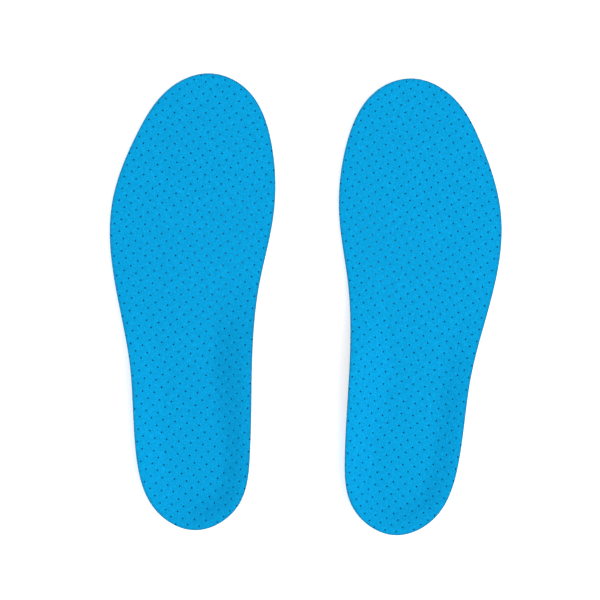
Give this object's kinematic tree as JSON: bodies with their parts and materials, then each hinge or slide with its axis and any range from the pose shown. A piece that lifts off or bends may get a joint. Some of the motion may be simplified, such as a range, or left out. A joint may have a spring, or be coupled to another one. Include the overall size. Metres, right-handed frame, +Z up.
{
  "type": "cushioned insole pair",
  "caption": "Left and right full-length cushioned shoe insoles: thin perforated cover on moulded foam, with a shallow heel cup, a raised inner arch and soft pads underneath.",
  "frame": {"origin": "on the floor, at the middle of the pair's footprint", "axes": "+X from the left insole to the right one, +Y from heels to toes, +Z up out of the top covers"},
  "size_m": [0.2315, 0.2727, 0.0168],
  "materials": {
    "top_cover": "matt brushed textile, bright blue, perforated",
    "foam": "matt moulded foam, bright blue",
    "pad": "satin soft gel foam, deep blue",
    "arch_support": "matt firm foam, dark blue"
  },
  "bodies": {
    "left_rearfoot": {"left_top_cover_rearfoot": "top_cover", "left_foam_rearfoot": "foam", "left_heel_pad": "pad", "left_arch_support": "arch_support"},
    "left_forefoot": {"left_top_cover_forefoot": "top_cover", "left_foam_forefoot": "foam", "left_forefoot_pad": "pad"},
    "right_rearfoot": {"right_top_cover_rearfoot": "top_cover", "right_foam_rearfoot": "foam", "right_heel_pad": "pad", "right_arch_support": "arch_support"},
    "right_forefoot": {"right_top_cover_forefoot": "top_cover", "right_foam_forefoot": "foam", "right_forefoot_pad": "pad"}
  },
  "joints": [
    {"name": "left_ball_flex", "type": "hinge", "parent": "left_rearfoot", "child": "left_forefoot", "pos_m": [-0.06653, 0.04352, 0.0055], "axis": [0.9634, 0.2681, 0], "range_deg": [0, 50], "stiffness_Nm_per_rad": 0.3},
    {"name": "right_insole_lift", "type": "slide", "parent": "left_rearfoot", "child": "right_rearfoot", "axis": [0, 0, 1], "range_m": [0, 0.1]},
    {"name": "right_ball_flex", "type": "hinge", "parent": "right_rearfoot", "child": "right_forefoot", "pos_m": [0.06749, 0.03996, 0.0055], "axis": [0.9406, -0.3396, 0], "range_deg": [0, 50], "stiffness_Nm_per_rad": 0.3}
  ]
}
